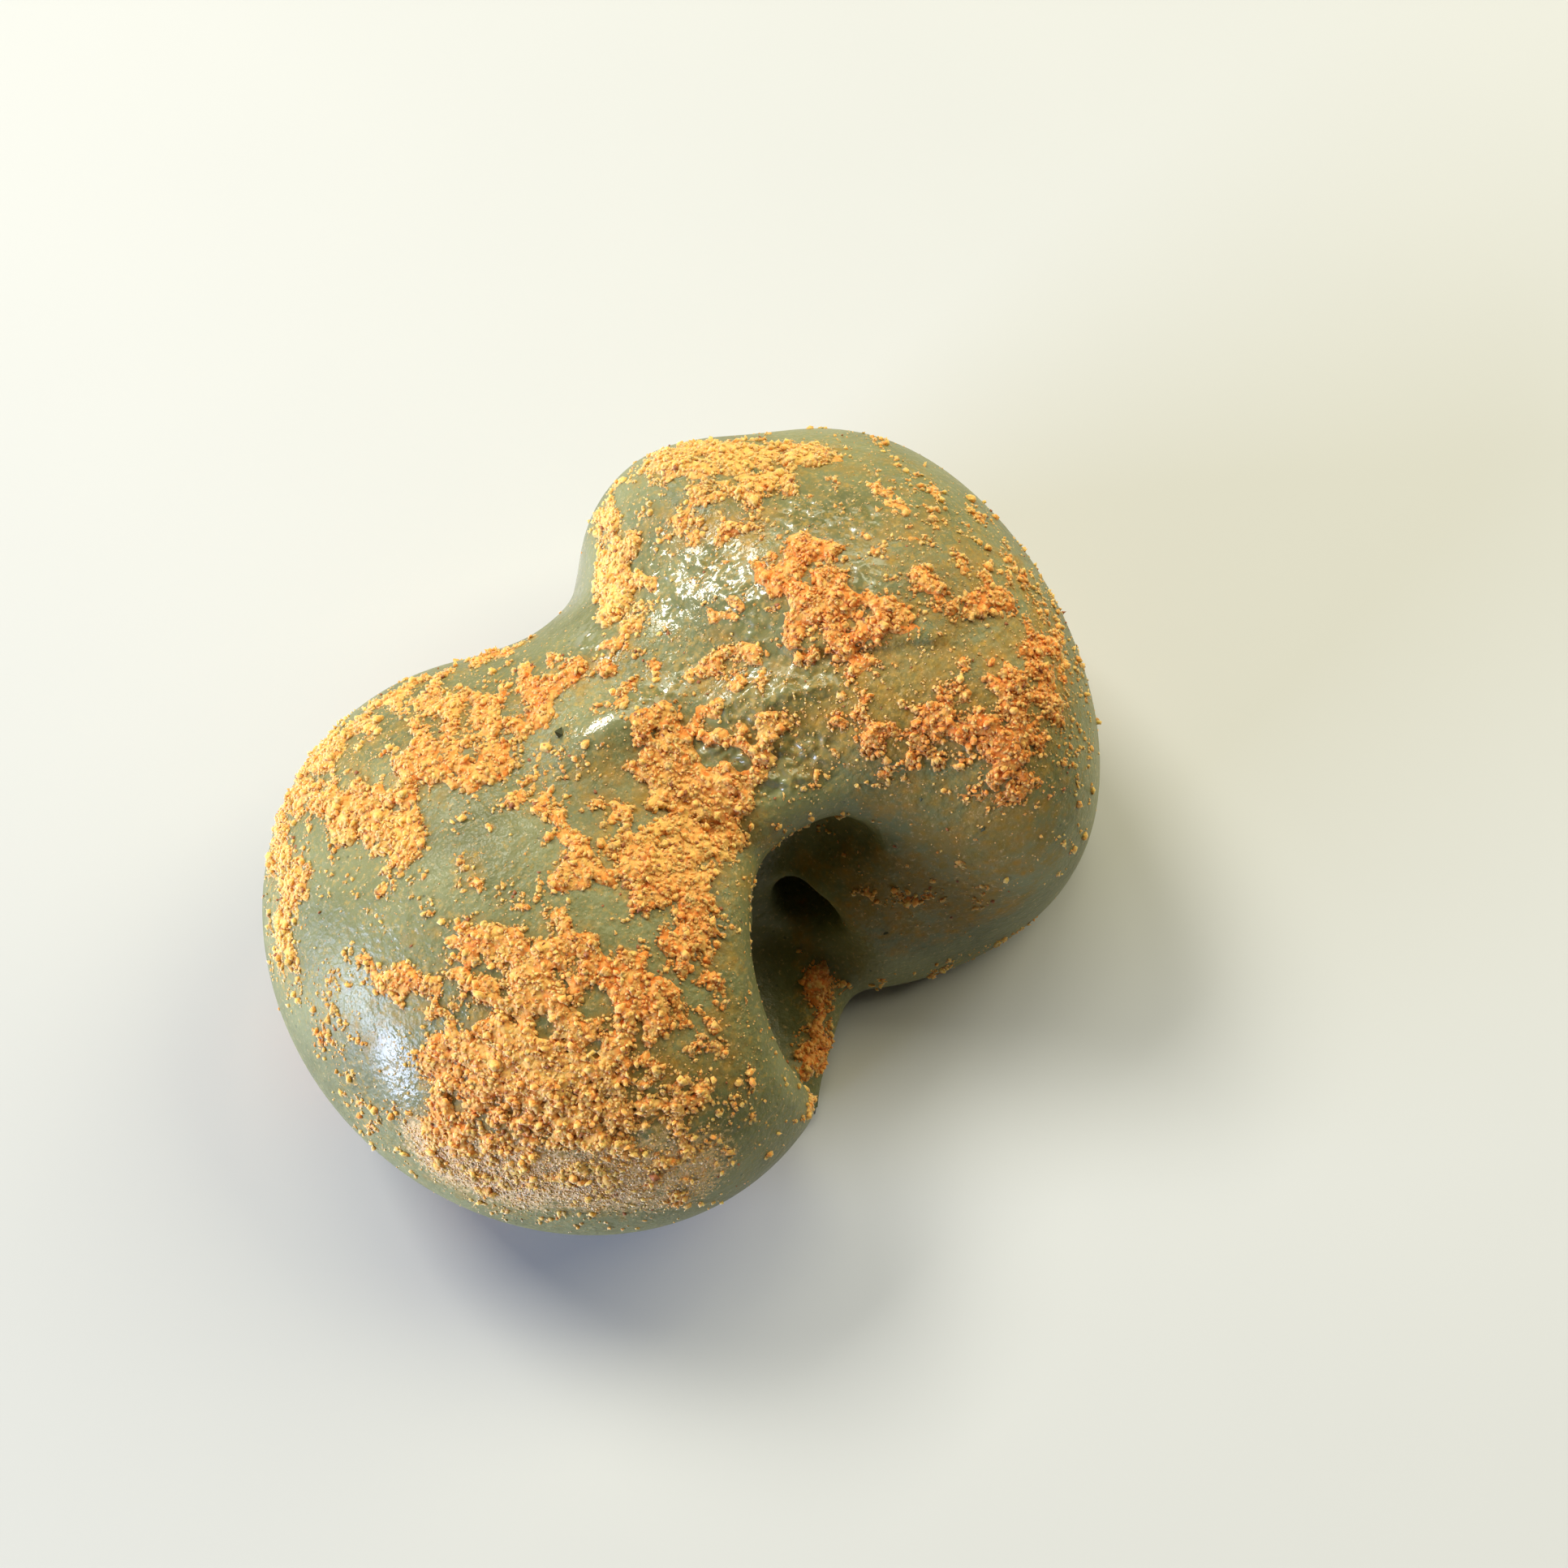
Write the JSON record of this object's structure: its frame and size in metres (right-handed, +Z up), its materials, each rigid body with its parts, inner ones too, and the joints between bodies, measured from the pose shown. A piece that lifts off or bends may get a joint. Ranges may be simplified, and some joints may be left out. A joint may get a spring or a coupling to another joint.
{
  "type": "mochi rice cake",
  "caption": "Soft folded lump of green rice dough with a deep pocket at the front and patches of roasted soybean flour.",
  "frame": {"origin": "on the surface it rests on, under the middle of the cake", "axes": "+X along the cake from its large lobe to its small one, +Z up, with the pocket opening towards -Y"},
  "size_m": [0.0662, 0.0476, 0.0292],
  "materials": {
    "dough": "moist translucent rice dough with a soft broken sheen, partly covered by crumbly soybean flour"
  },
  "bodies": {
    "root": {"mochi": "dough"}
  },
  "joints": []
}
